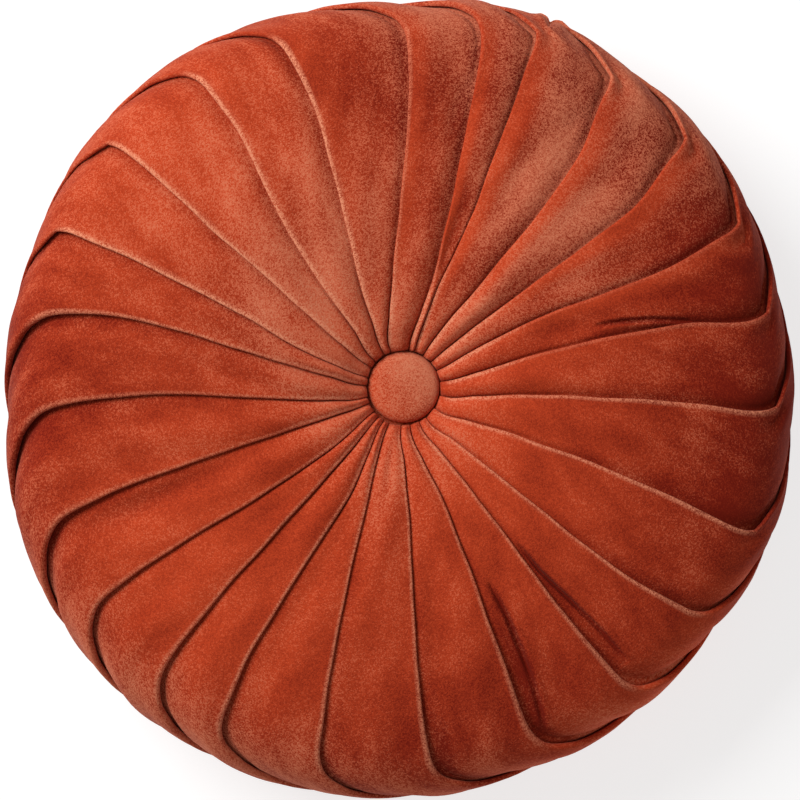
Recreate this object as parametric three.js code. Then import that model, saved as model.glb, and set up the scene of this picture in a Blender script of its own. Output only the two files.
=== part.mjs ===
// A round velvet cushion: one knife-pleated cover, filled, with a covered button drawn into each face.
// Millimetres, +Z up. The cushion lies on its back face, so the front face and its button look up.
// The origin is under the middle of the outline, on the surface that the cushion lies on.
import * as THREE from "three";

const VELVET = { color: "#a8432a", roughness: 0.95, metalness: 0 };

// The buttons draw both faces in a little off the middle of the outline.
const BUTTON_PLACE = { x: 2.0, y: 6.5 };
const BUTTON_RADIUS = 17.8;
const BUTTON_GAP = 0.3;
const BUTTON_STEPS = 36;

// How far the foot of a fold lies past its crest, and the most of a pleat's width that it may take.
const STEP_WIDTH = 2.2;
const STEP_SHARE = 0.22;
// The share of a fold's lift that lies outside the mean surface.
const LIFT_OUTSIDE = 0.5;
// How much the folds swirl between the back rim and the back button, in degrees.
const BACK_SWIRL = 12;
// Near the middle, where the pleats are narrow, the step is worked out as if no nearer than this.
const LEAST_RADIUS = 1;
// Smooth steps between two rows of the section table.
const STEPS_A_ROW = 2;

// One row a pleat, anticlockwise from +X as seen from the front. The first five columns are the angle of
// its fold in degrees, at five reaches from the button to the rim. edge is the cushion's radius there,
// lift is how far the fold stands over the next pleat at the rim, and hollow is the depth of a trough
// that runs beside the fold, on the next pleat.
const PLEATS = [
  { button: 8, inner: 13, middle: 13.8, outer: 13, rim: 10.8, edge: 195, lift: 6.5, hollow: 2 },
  { button: 26, inner: 27.6, middle: 26.3, outer: 24.2, rim: 25.3, edge: 196, lift: 6.5, hollow: 2 },
  { button: 38, inner: 40, middle: 38.4, outer: 38.1, rim: 40.6, edge: 197.3, lift: 7, hollow: 2.2 },
  { button: 57, inner: 54.2, middle: 52.4, outer: 52.6, rim: 55.5, edge: 196, lift: 7, hollow: 2.2 },
  { button: 70, inner: 70.3, middle: 68.6, outer: 68.8, rim: 69, edge: 199.6, lift: 5.5, hollow: 1.4 },
  { button: 80, inner: 75.6, middle: 75.9, outer: 76.6, rim: 77.3, edge: 198, lift: 6, hollow: 1.5 },
  { button: 112, inner: 97, middle: 91.4, outer: 89.2, rim: 89.5, edge: 193.5, lift: 5.5, hollow: 1 },
  { button: 122, inner: 113.8, middle: 109.3, outer: 107.8, rim: 109.2, edge: 196.6, lift: 4.5, hollow: 0 },
  { button: 141, inner: 129.7, middle: 127.2, outer: 123.4, rim: 123.5, edge: 201, lift: 4.5, hollow: 0.2 },
  { button: 152, inner: 144, middle: 141.5, outer: 140.3, rim: 139.9, edge: 201.9, lift: 4.5, hollow: 0.2 },
  { button: 168, inner: 160.3, middle: 156, outer: 155, rim: 155.2, edge: 200.9, lift: 5, hollow: 0.2 },
  { button: 180, inner: 169.8, middle: 166.8, outer: 166.2, rim: 168, edge: 200, lift: 7, hollow: 0.8 },
  { button: 197, inner: 187.2, middle: 182.7, outer: 181.9, rim: 183.4, edge: 200.6, lift: 7, hollow: 0.8 },
  { button: 205.5, inner: 201, middle: 200, outer: 199.8, rim: 200.9, edge: 205.6, lift: 7, hollow: 2.2 },
  { button: 218, inner: 219.6, middle: 216.9, outer: 214.9, rim: 215, edge: 208.7, lift: 6.5, hollow: 0.8 },
  { button: 228, inner: 229.7, middle: 228.8, outer: 228.7, rim: 229.5, edge: 209.9, lift: 7, hollow: 1.2 },
  { button: 236.5, inner: 243.3, middle: 241, outer: 240.2, rim: 241.1, edge: 209.2, lift: 6.5, hollow: 1 },
  { button: 245, inner: 251.8, middle: 254, outer: 255.7, rim: 256.8, edge: 208.7, lift: 5, hollow: 0.4 },
  { button: 262, inner: 272, middle: 272.6, outer: 272.9, rim: 273.8, edge: 206.1, lift: 5.5, hollow: 1.6 },
  { button: 279.6, inner: 288, middle: 290, outer: 290, rim: 290, edge: 202.6, lift: 6.5, hollow: 3.4 },
  { button: 293, inner: 302.5, middle: 304.4, outer: 305.6, rim: 306.5, edge: 200.8, lift: 6, hollow: 3 },
  { button: 303.5, inner: 316, middle: 318.2, outer: 319.6, rim: 321.7, edge: 198.3, lift: 5, hollow: 0.2 },
  { button: 319, inner: 335.5, middle: 338, outer: 337.8, rim: 337, edge: 199.8, lift: 6, hollow: 0.8 },
  { button: 343, inner: 355.5, middle: 357.1, outer: 356.7, rim: 356.1, edge: 196.6, lift: 6.5, hollow: 2 },
];
// The reaches, as shares of the edge radius, at which the angles above were read.
const FOLD_REACHES = { button: 0.096, inner: 0.253, middle: 0.456, outer: 0.709, rim: 0.886 };

// One row a section round the cushion, from the back button to the front one. reach is a share of the edge
// radius, height is the mean surface's, twist is how far the folds have still to turn anticlockwise from
// the front rim, in degrees, and relief is the share of a fold's lift that shows there.
const SECTIONS = [
  { reach: 0, height: 27, twist: 28, relief: 0 },
  { reach: 0.07, height: 27, twist: 28, relief: 0 },
  { reach: 0.1, height: 26, twist: 28, relief: 0.3 },
  { reach: 0.21, height: 14.5, twist: 28, relief: 0.4 },
  { reach: 0.39, height: 3.2, twist: 28, relief: 0.45 },
  { reach: 0.64, height: 0, twist: 28, relief: 0.45 },
  { reach: 0.81, height: 2.4, twist: 27.4, relief: 0.5 },
  { reach: 0.905, height: 9, twist: 25.3, relief: 0.5 },
  { reach: 0.965, height: 21, twist: 22.1, relief: 0.5 },
  { reach: 0.995, height: 37, twist: 18.1, relief: 0.5 },
  { reach: 1, height: 54, twist: 13.3, relief: 0.55 },
  { reach: 0.99, height: 70, twist: 8.2, relief: 0.75 },
  { reach: 0.972, height: 81, twist: 3.6, relief: 0.95 },
  { reach: 0.94, height: 89, twist: 0.4, relief: 1 },
  { reach: 0.875, height: 96.8, twist: 0, relief: 0.8 },
  { reach: 0.75, height: 102.4, twist: 0, relief: 0.52 },
  { reach: 0.6, height: 104.8, twist: 0, relief: 0.42 },
  { reach: 0.31, height: 101.4, twist: 0, relief: 0.42 },
  { reach: 0.19, height: 95.6, twist: 0, relief: 0.44 },
  { reach: 0.12, height: 87, twist: 0, relief: 0.34 },
  { reach: 0.092, height: 79.4, twist: 0, relief: 0 },
  { reach: 0, height: 79, twist: 0, relief: 0 },
];

// Across one pleat, from the foot of the fold before it to its own fold: the share of its width, the share
// of the lift that it has risen, and how much of the hollow beside the fold falls there.
const ACROSS = [
  { along: 0, rise: 0, hollow: 0.3 },
  { along: 0.1, rise: 0.48, hollow: 0.9 },
  { along: 0.3, rise: 0.76, hollow: 0.6 },
  { along: 0.6, rise: 0.93, hollow: 0 },
  { along: 0.86, rise: 1.02, hollow: 0 },
  { along: 1, rise: 1, hollow: 0 },
];
// Between these reaches on the front face, the hollow beside a fold grows to its full depth.
const HOLLOW_REACH = { from: 0.45, full: 0.8 };

// A covered button, from the middle of its flat underside to the top of its dome.
const BUTTON_PROFILE = [
  { radius: 0, height: 0 },
  { radius: 14.6, height: 0 },
  { radius: 16.8, height: 0.9 },
  { radius: BUTTON_RADIUS, height: 2.8 },
  { radius: 17.4, height: 4.6 },
  { radius: 15.6, height: 6.4 },
  { radius: 12, height: 7.8 },
  { radius: 7, height: 8.7 },
  { radius: 0, height: 9.1 },
];

const radians = THREE.MathUtils.degToRad;

// A value between two others, eased at both ends.
function eased(from, to, value) {
  return THREE.MathUtils.smoothstep(value, from, to);
}

// The section table with smooth steps put in between its rows.
function smoothSections() {
  const columns = Object.keys(SECTIONS[0]);
  const last = SECTIONS.length - 1;
  const sections = [];
  for (let step = 0; step <= last * STEPS_A_ROW; step += 1) {
    const row = Math.min(Math.floor(step / STEPS_A_ROW), last - 1);
    const share = step / STEPS_A_ROW - row;
    const around = [row - 1, row, row + 1, row + 2].map((k) => SECTIONS[THREE.MathUtils.clamp(k, 0, last)]);
    const section = {};
    for (const column of columns) {
      const [before, from, to, after] = around.map((near) => near[column]);
      section[column] = catmullRom(share, before, from, to, after);
    }
    section.reach = THREE.MathUtils.clamp(section.reach, 0, 1);
    section.relief = Math.max(section.relief, 0);
    section.front = step / STEPS_A_ROW > last / 2; // the upper half of the table
    sections.push(section);
  }
  return sections;
}

// A smooth curve's value at a share of the way between from and to.
function catmullRom(share, before, from, to, after) {
  const leave = (to - before) / 2;
  const arrive = (after - from) / 2;
  const cubic = 2 * from - 2 * to + leave + arrive;
  const square = -3 * from + 3 * to - 2 * leave - arrive;
  return ((cubic * share + square) * share + leave) * share + from;
}

// The angle of a fold on one section, in degrees: read from the table on the front face, and swirling
// evenly to the button on the back.
function foldAngle(pleat, section) {
  if (!section.front) {
    const inward = Math.max(FOLD_REACHES.rim - section.reach, 0);
    return pleat.rim + section.twist + BACK_SWIRL * inward;
  }
  const names = Object.keys(FOLD_REACHES);
  const last = names.length - 1;
  let k = 0;
  while (k < last - 1 && section.reach > FOLD_REACHES[names[k + 1]]) k += 1;
  const from = FOLD_REACHES[names[k]];
  const to = FOLD_REACHES[names[k + 1]];
  const share = THREE.MathUtils.clamp((section.reach - from) / (to - from), 0, 1);
  const angles = [k - 1, k, k + 1, k + 2].map((n) => pleat[names[THREE.MathUtils.clamp(n, 0, last)]]);
  return catmullRom(share, ...angles) + section.twist;
}

// The cushion's edge radius at an angle, eased from one pleat's value to the next.
function edgeRadius(angle) {
  const turned = THREE.MathUtils.euclideanModulo(angle - PLEATS[0].rim, 360) + PLEATS[0].rim;
  let k = 0;
  while (k < PLEATS.length - 1 && turned >= PLEATS[k + 1].rim) k += 1;
  const next = PLEATS[(k + 1) % PLEATS.length];
  const nextRim = k + 1 < PLEATS.length ? next.rim : next.rim + 360;
  return THREE.MathUtils.lerp(PLEATS[k].edge, next.edge, eased(PLEATS[k].rim, nextRim, turned));
}

// The outward direction of the mean surface on a section, as its share outwards and its share upwards.
function outward(sections, j) {
  const below = sections[Math.max(j - 1, 0)];
  const above = sections[Math.min(j + 1, sections.length - 1)];
  const run = (above.reach - below.reach) * PLEATS[0].edge;
  const along = new THREE.Vector2(run, above.height - below.height).normalize();
  return { out: along.y, up: -along.x };
}

// One point of the cover: a place across one pleat, on one section.
function coverPoint(pleatNumber, across, section, direction) {
  const before = PLEATS[pleatNumber];
  const own = PLEATS[(pleatNumber + 1) % PLEATS.length];
  const start = foldAngle(before, section);
  const wrap = pleatNumber + 1 < PLEATS.length ? 0 : 360;
  const width = foldAngle(own, section) + wrap - start;
  const meanRadius = Math.max(section.reach * before.edge, LEAST_RADIUS);
  const step = Math.min(THREE.MathUtils.radToDeg(STEP_WIDTH / meanRadius), width * STEP_SHARE);
  const angle = start + step + (width - step) * across.along;

  const lift = THREE.MathUtils.lerp(before.lift, own.lift, across.along) * section.relief;
  const hollowShare = section.front ? eased(HOLLOW_REACH.from, HOLLOW_REACH.full, section.reach) : 0;
  const hollow = before.hollow * across.hollow * hollowShare * section.relief;
  const relief = lift * (across.rise - 1 + LIFT_OUTSIDE) - hollow;

  const radius = section.reach * edgeRadius(angle) + relief * direction.out;
  return new THREE.Vector3(
    BUTTON_PLACE.x + radius * Math.cos(radians(angle)),
    BUTTON_PLACE.y + radius * Math.sin(radians(angle)),
    Math.max(section.height + relief * direction.up, 0), // flat where it lies on the surface
  );
}

// The filled cover: a turned shape whose points are moved onto the pleats, column by column.
function pleatedCover() {
  const sections = smoothSections();
  const edge = PLEATS[0].edge;
  const profile = sections.map((section) => new THREE.Vector2(section.reach * edge, section.height));
  const columns = PLEATS.length * ACROSS.length;
  const geometry = new THREE.LatheGeometry(profile, columns);
  const position = geometry.getAttribute("position");
  for (let column = 0; column <= columns; column += 1) {
    const turned = column % columns;
    const pleatNumber = Math.floor(turned / ACROSS.length);
    const across = ACROSS[turned % ACROSS.length];
    sections.forEach((section, j) => {
      const point = coverPoint(pleatNumber, across, section, outward(sections, j));
      if (section.reach === 0) point.set(BUTTON_PLACE.x, BUTTON_PLACE.y, section.height);
      position.setXYZ(column * sections.length + j, point.x, point.y, point.z);
    });
  }
  geometry.computeVertexNormals();
  return geometry;
}

// One button, turned about +Z with its flat underside at zero.
function coveredButton() {
  const profile = BUTTON_PROFILE.map((row) => new THREE.Vector2(row.radius, row.height));
  return new THREE.LatheGeometry(profile, BUTTON_STEPS).rotateX(Math.PI / 2);
}

// A named piece in the velvet.
function mesh(name, geometry) {
  const made = new THREE.Mesh(geometry, new THREE.MeshStandardMaterial(VELVET));
  made.name = name;
  return made;
}

const cushion = new THREE.Group();
cushion.add(mesh("pleated_cover", pleatedCover()));

const frontButton = mesh("front_button", coveredButton());
frontButton.position.set(BUTTON_PLACE.x, BUTTON_PLACE.y, SECTIONS[SECTIONS.length - 1].height + BUTTON_GAP);
cushion.add(frontButton);

const backButton = mesh("back_button", coveredButton());
backButton.position.set(BUTTON_PLACE.x, BUTTON_PLACE.y, SECTIONS[0].height - BUTTON_GAP);
backButton.rotation.x = Math.PI;
cushion.add(backButton);

export default cushion;
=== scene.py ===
"""A round velvet cushion: one knife-pleated cover, filled, and a covered button drawn into each face.

Metres and degrees, +Z up. The cushion lies on its back face, and the camera looks down on its
front face.
"""

import logging
import math
from dataclasses import dataclass, field
from enum import Enum
from typing import NamedTuple

import bmesh
import bpy
from mathutils import Matrix, Vector, noise


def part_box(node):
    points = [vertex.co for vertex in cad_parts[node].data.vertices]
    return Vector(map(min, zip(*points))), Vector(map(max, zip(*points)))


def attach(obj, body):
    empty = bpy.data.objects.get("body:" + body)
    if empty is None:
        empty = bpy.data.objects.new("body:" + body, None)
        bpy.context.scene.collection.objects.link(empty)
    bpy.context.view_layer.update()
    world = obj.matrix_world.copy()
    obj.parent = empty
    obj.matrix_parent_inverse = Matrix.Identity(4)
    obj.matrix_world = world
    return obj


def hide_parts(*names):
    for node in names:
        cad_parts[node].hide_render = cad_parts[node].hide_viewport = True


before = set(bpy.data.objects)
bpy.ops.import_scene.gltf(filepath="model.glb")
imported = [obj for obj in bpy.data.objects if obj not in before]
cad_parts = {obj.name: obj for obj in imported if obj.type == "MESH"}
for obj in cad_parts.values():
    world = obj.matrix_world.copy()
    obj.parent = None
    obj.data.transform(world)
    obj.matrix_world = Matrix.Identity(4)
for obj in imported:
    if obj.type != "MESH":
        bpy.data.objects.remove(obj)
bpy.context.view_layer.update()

MM = 0.001
FULL_TURN = 360.0
BODY = "root"
JOINED = 1e-6  # points that are closer than this become one

Band = tuple[float, float]
Colour = tuple[float, float, float]
Source = bpy.types.NodeSocket | float | Colour

log = logging.getLogger("cushion")


class HookShape(NamedTuple):
    """How a fold turns where the face goes over into the side, and where the trough beside it starts."""

    power: float  # 1 turns with the section table; more keeps the fold straight for longer
    start: float  # share of the edge radius
    end: float
    early: float  # share of the hook that it turns at once between these
    hollow_from: float
    hollow_full: float


class Hook(Enum):
    """The ways in which the folds go over the rim."""

    SOFT = HookShape(1.0, 0.88, 0.96, 0.04, 0.45, 0.8)
    SHARP = HookShape(1.8, 0.942, 0.962, 0.12, 0.8, 0.95)
    PLAIN = HookShape(1.3, 0.93, 0.98, 0.0, 0.45, 0.8)


class Fold(NamedTuple):
    """One pleat's fold: its angle at seven reaches from the button to the rim, and its shape there."""

    button: float
    near: float
    inner: float
    second: float
    middle: float
    outer: float
    rim: float
    hook: float  # degrees that it turns on between the rim and the widest section
    edge: float  # the cushion's radius there, in millimetres
    lift: float  # how far it stands over the next pleat at the rim, in millimetres
    roll: float  # radius of its rounded edge, in millimetres
    hollow: float  # depth of the trough beside it, on the next pleat, in millimetres
    worn_and_highlight: float  # how pale its edge is, rubbed and with a painted highlight where it faces the light, from 0 to 1
    style: Hook


# Anticlockwise from +X as seen from the front, one row a pleat.
FOLDS = (
    Fold(7.9, 10.5, 13.3, 14.0, 13.6, 12.7, 10.8, 16.0, 195.0, 6.5, 1.3, 2.0, 0.2, Hook.SHARP),
    Fold(26.0, 27.6, 27.9, 27.0, 25.0, 24.2, 25.3, 16.0, 196.0, 6.5, 1.3, 2.0, 0.1, Hook.SHARP),
    Fold(42.0, 41.0, 39.7, 38.6, 38.1, 38.2, 40.6, 15.0, 197.3, 7.0, 1.3, 2.2, 0.0, Hook.SHARP),
    Fold(58.2, 56.3, 53.8, 52.6, 52.3, 52.8, 55.5, 14.0, 196.0, 7.0, 1.3, 2.2, 0.0, Hook.SHARP),
    Fold(73.5, 72.5, 70.6, 68.7, 68.6, 68.8, 69.0, 11.0, 199.6, 5.5, 1.3, 1.4, 0.0, Hook.SHARP),
    Fold(81.5, 77.5, 75.3, 75.5, 76.0, 76.6, 77.3, 12.0, 198.0, 6.0, 1.7, 1.5, 0.0, Hook.PLAIN),
    Fold(110.0, 102.0, 96.1, 92.4, 90.2, 89.0, 89.5, 13.0, 193.5, 5.5, 1.5, 1.0, 0.3, Hook.PLAIN),
    Fold(120.5, 116.0, 113.1, 110.1, 108.4, 107.9, 109.2, 13.0, 196.6, 4.5, 1.1, 0.2, 0.9, Hook.PLAIN),
    Fold(138.0, 131.7, 129.5, 127.9, 125.6, 123.2, 123.5, 14.0, 201.0, 4.5, 1.1, 0.2, 1.0, Hook.PLAIN),
    Fold(149.0, 146.0, 143.5, 141.8, 141.0, 140.1, 139.9, 14.0, 201.9, 4.5, 1.1, 0.2, 1.0, Hook.SHARP),
    Fold(165.0, 162.4, 159.7, 156.5, 155.4, 154.9, 155.2, 13.0, 200.9, 5.0, 1.1, 0.2, 1.0, Hook.SHARP),
    Fold(177.0, 172.3, 169.4, 167.5, 166.1, 166.3, 168.0, 13.0, 200.0, 7.0, 1.3, 0.8, 0.5, Hook.SOFT),
    Fold(195.0, 190.5, 186.3, 183.6, 182.0, 182.1, 183.3, 14.0, 200.6, 7.0, 1.3, 0.8, 0.3, Hook.SOFT),
    Fold(204.5, 202.2, 200.8, 200.1, 199.8, 199.9, 200.8, 13.0, 205.6, 7.0, 1.3, 2.2, 0.3, Hook.SOFT),
    Fold(219.0, 220.6, 219.3, 217.6, 215.8, 214.9, 215.0, 12.0, 208.7, 6.5, 1.3, 0.8, 0.3, Hook.SOFT),
    Fold(229.0, 229.7, 229.4, 229.0, 228.7, 228.8, 229.5, 12.0, 209.9, 7.0, 1.3, 1.2, 0.4, Hook.SOFT),
    Fold(238.5, 241.8, 243.4, 241.6, 240.5, 240.2, 241.1, 14.0, 209.2, 6.5, 1.3, 0.8, 0.5, Hook.PLAIN),
    Fold(247.0, 249.5, 252.3, 253.5, 254.7, 255.9, 256.8, 13.0, 208.7, 5.0, 1.2, 0.4, 0.5, Hook.PLAIN),
    Fold(265.5, 270.0, 272.2, 272.5, 272.7, 273.0, 273.9, 13.0, 206.1, 5.5, 1.2, 1.6, 0.5, Hook.PLAIN),
    Fold(278.5, 284.0, 288.8, 289.8, 290.0, 290.0, 290.0, 14.0, 202.6, 6.5, 1.3, 3.4, 0.4, Hook.PLAIN),
    Fold(293.0, 299.0, 303.1, 304.2, 305.0, 305.7, 306.5, 13.0, 200.8, 6.0, 1.3, 4.2, 0.5, Hook.PLAIN),
    Fold(305.5, 313.0, 316.5, 318.0, 318.7, 319.8, 321.7, 13.0, 198.3, 5.0, 1.1, 0.2, 0.6, Hook.PLAIN),
    Fold(325.0, 332.0, 336.4, 337.8, 338.1, 337.7, 337.0, 15.0, 199.8, 6.0, 1.2, 0.8, 0.6, Hook.SHARP),
    Fold(346.5, 352.3, 355.9, 357.0, 357.0, 356.7, 356.1, 16.0, 196.6, 6.5, 1.2, 1.6, 0.5, Hook.SHARP),
)
# The reaches of the first seven columns, as shares of the edge radius.
FOLD_REACHES = (0.114, 0.177, 0.278, 0.405, 0.557, 0.734, 0.886)


class Section(NamedTuple):
    """A row of the section table: half of a cut through the cushion, from back to front."""

    reach: float  # share of the edge radius
    height: float  # millimetres
    twist: float  # share of a fold's hook that it has turned there
    relief: float  # share of a fold's lift that shows there


SECTIONS = (
    Section(0.0, 27.0, 2.1, 0.0),
    Section(0.07, 27.0, 2.1, 0.0),
    Section(0.1, 26.0, 2.1, 0.3),
    Section(0.21, 14.5, 2.1, 0.4),
    Section(0.39, 3.2, 2.1, 0.45),
    Section(0.64, 0.0, 2.1, 0.45),
    Section(0.81, 2.4, 2.06, 0.5),
    Section(0.905, 9.0, 1.9, 0.5),
    Section(0.965, 21.0, 1.66, 0.5),
    Section(0.995, 37.0, 1.36, 0.5),
    Section(1.0, 54.0, 1.0, 0.55),
    Section(0.99, 70.0, 0.66, 0.66),
    Section(0.972, 81.0, 0.45, 0.78),
    Section(0.94, 89.0, 0.2, 0.84),
    Section(0.875, 96.8, 0.02, 0.74),
    Section(0.75, 102.4, 0.0, 0.52),
    Section(0.6, 104.8, 0.0, 0.42),
    Section(0.45, 104.2, 0.0, 0.42),
    Section(0.31, 101.4, 0.0, 0.46),
    Section(0.19, 95.6, 0.0, 0.52),
    Section(0.13, 89.4, 0.0, 0.5),
    Section(0.104, 86.0, 0.0, 0.42),
    Section(0.0935, 82.0, 0.0, 0.1),
    Section(0.0925, 79.6, 0.0, 0.0),
    Section(0.086, 79.2, 0.0, 0.0),
    Section(0.0, 79.0, 0.0, 0.0),
)
WIDEST_ROW = 10  # the row of the widest section, where the back ends and the front starts


class Crease(NamedTuple):
    """A soft crease on the front face, from one end to the other, with its depth in millimetres."""

    angle_from: float
    reach_from: float
    angle_to: float
    reach_to: float
    depth: float
    width: float  # half of it, in millimetres


CREASES = (
    Crease(80.8, 0.6, 77.9, 0.82, 1.4, 3.0),
    Crease(59.0, 0.42, 63.0, 0.70, 0.9, 6.0),
    Crease(58.5, 0.76, 55.6, 0.86, 1.6, 3.0),
    Crease(127.0, 0.11, 124.0, 0.24, 1.1, 1.6),
    Crease(258.0, 0.12, 261.6, 0.28, 1.4, 2.0),
    Crease(203.6, 0.42, 204.4, 0.9, 2.6, 5.0),
    Crease(232.4, 0.84, 233.6, 0.93, 1.4, 4.0),
    Crease(276.0, 0.8, 277.0, 0.95, 1.8, 3.0),
    Crease(293.9, 0.5, 292.2, 0.94, 2.8, 4.0),
)


class LightAndNapPatch(NamedTuple):
    """A patch of painted light and shade, and of pale brushed nap that is partly painted sheen: its place,
    and how bright and how dusty it looks there.
    """

    angle: float
    reach: float
    half_angle: float
    half_reach: float
    bright: float
    dust_and_sheen: float


# Painted light and shade, such as the darker right rim and the lighter upper left, and painted sheen in the
# pale dusty patches.
LIGHT_AND_NAP_PATCHES = (
    LightAndNapPatch(357.0, 0.97, 42.0, 0.36, -0.68, -0.3),
    LightAndNapPatch(0.0, 0.5, 24.0, 0.25, 0.0, -0.25),
    LightAndNapPatch(315.0, 0.5, 30.0, 0.3, 0.15, 0.0),
    LightAndNapPatch(132.0, 0.7, 35.0, 0.35, 0.35, 0.15),
    LightAndNapPatch(180.0, 0.82, 25.0, 0.3, -0.42, -0.25),
    LightAndNapPatch(215.0, 0.7, 40.0, 0.35, 0.2, 0.0),
    LightAndNapPatch(285.0, 0.86, 30.0, 0.26, -0.28, 0.0),
    LightAndNapPatch(200.0, 1.06, 45.0, 0.16, -0.1, 0.8),
    LightAndNapPatch(245.0, 1.0, 40.0, 0.15, 0.0, 0.9),
    LightAndNapPatch(130.0, 1.02, 30.0, 0.1, 0.0, 0.4),
    LightAndNapPatch(312.0, 1.0, 28.0, 0.1, 0.75, 0.5),
    LightAndNapPatch(115.0, 0.42, 50.0, 0.3, 0.0, 0.85),
    LightAndNapPatch(46.0, 0.45, 22.0, 0.3, 0.1, 1.0),
    LightAndNapPatch(90.0, 0.98, 20.0, 0.1, 0.1, 0.7),
    LightAndNapPatch(96.0, 0.78, 20.0, 0.16, -0.5, -0.3),
    LightAndNapPatch(60.0, 0.88, 28.0, 0.25, -0.1, 0.85),
    LightAndNapPatch(48.0, 0.98, 20.0, 0.12, 0.0, 0.9),
    LightAndNapPatch(150.0, 0.32, 26.0, 0.16, 0.1, 0.7),
    LightAndNapPatch(160.0, 0.15, 110.0, 0.16, 0.5, 1.05),
    LightAndNapPatch(330.0, 0.17, 60.0, 0.16, 0.5, 0.55),
    LightAndNapPatch(262.0, 0.28, 12.0, 0.14, 0.1, 0.4),
)


class Across(NamedTuple):
    """A place across one pleat: its share of the width, of the lift and of the hollow."""

    along: float
    rise: float
    hollow: float


ACROSS = (
    Across(0.0, 0.0, 0.3),
    Across(0.03, 0.08, 0.6),
    Across(0.08, 0.42, 0.9),
    Across(0.18, 0.64, 0.9),
    Across(0.38, 0.82, 0.3),
    Across(0.63, 0.94, 0.0),
    Across(0.86, 1.02, 0.0),
    Across(1.0, 1.0, 0.0),
)


def eased(low: float, high: float, value: float) -> float:
    """Give 0 below low, 1 above high, and a smooth step between them."""
    share = min(max((value - low) / (high - low), 0.0), 1.0)
    return share * share * (3.0 - 2.0 * share)


def smooth_row(rows: tuple, place: float) -> list[float]:
    """Read a table between its rows along a smooth curve.

    Args:
        rows: the table's rows, each a tuple of numbers.
        place: the row's number, which needn't be whole.

    Returns:
        One value for each column.
    """
    last = len(rows) - 1
    first = min(int(place), last - 1)
    share = place - first
    before, start, end, after = (rows[min(max(k, 0), last)] for k in range(first - 1, first + 3))
    values = []
    for a, b, c, d in zip(before, start, end, after):
        leave, arrive = (c - a) / 2, (d - b) / 2
        cubic = 2 * (b - c) + leave + arrive
        square = 3 * (c - b) - 2 * leave - arrive
        values.append(((cubic * share + square) * share + leave) * share + b)
    return values


def bell(away: float, spread: float) -> float:
    """Fall away smoothly from 1 at the middle, by the distance from it and a spread."""
    return math.exp(-((away / spread) ** 2))


def turned_from(angle: float, middle: float) -> float:
    """Give the turn from one angle to another, between -180 and 180 degrees."""
    return (angle - middle + FULL_TURN / 2.0) % FULL_TURN - FULL_TURN / 2.0


def spin_closed(bm: bmesh.types.BMesh, chain: list[bmesh.types.BMVert], steps: int) -> None:
    """Spin a chain of points, from pole to pole, once round the upright axis.

    Args:
        bm: the mesh that the chain is in.
        chain: its points in their order.
        steps: the steps round.
    """
    turned = chain + [bm.edges.new(pair) for pair in zip(chain, chain[1:])]
    axis, middle = (0.0, 0.0, 1.0), (0.0, 0.0, 0.0)
    bmesh.ops.spin(bm, geom=turned, axis=axis, cent=middle, angle=math.tau, steps=steps, use_merge=True)
    poles = [vertex for vertex in bm.verts if vertex.co.xy.length < JOINED]
    bmesh.ops.remove_doubles(bm, verts=poles, dist=JOINED)


def finished(name: str, bm: bmesh.types.BMesh) -> bpy.types.Object:
    """Turn a bmesh into a smooth object in the scene.

    Args:
        name: the object's name.
        bm: the bmesh, which is freed.

    Returns:
        The new object.
    """
    mesh = bpy.data.meshes.new(name)
    bm.to_mesh(mesh)
    bm.free()
    mesh.polygons.foreach_set("use_smooth", [True] * len(mesh.polygons))
    piece = bpy.data.objects.new(name, mesh)
    bpy.context.collection.objects.link(piece)
    return piece


@dataclass(frozen=True)
class Ring:
    """One section round the cushion, with the outward direction of its mean surface."""

    reach: float
    height: float
    twist: float
    relief: float
    front: bool
    out: float
    up: float
    gone: float  # distance along the section from the middle of the back

    @property
    def outward(self) -> float:
        """Give the reach, counted on past 1 on the back."""
        return self.reach if self.front else 2.0 - self.reach


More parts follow.
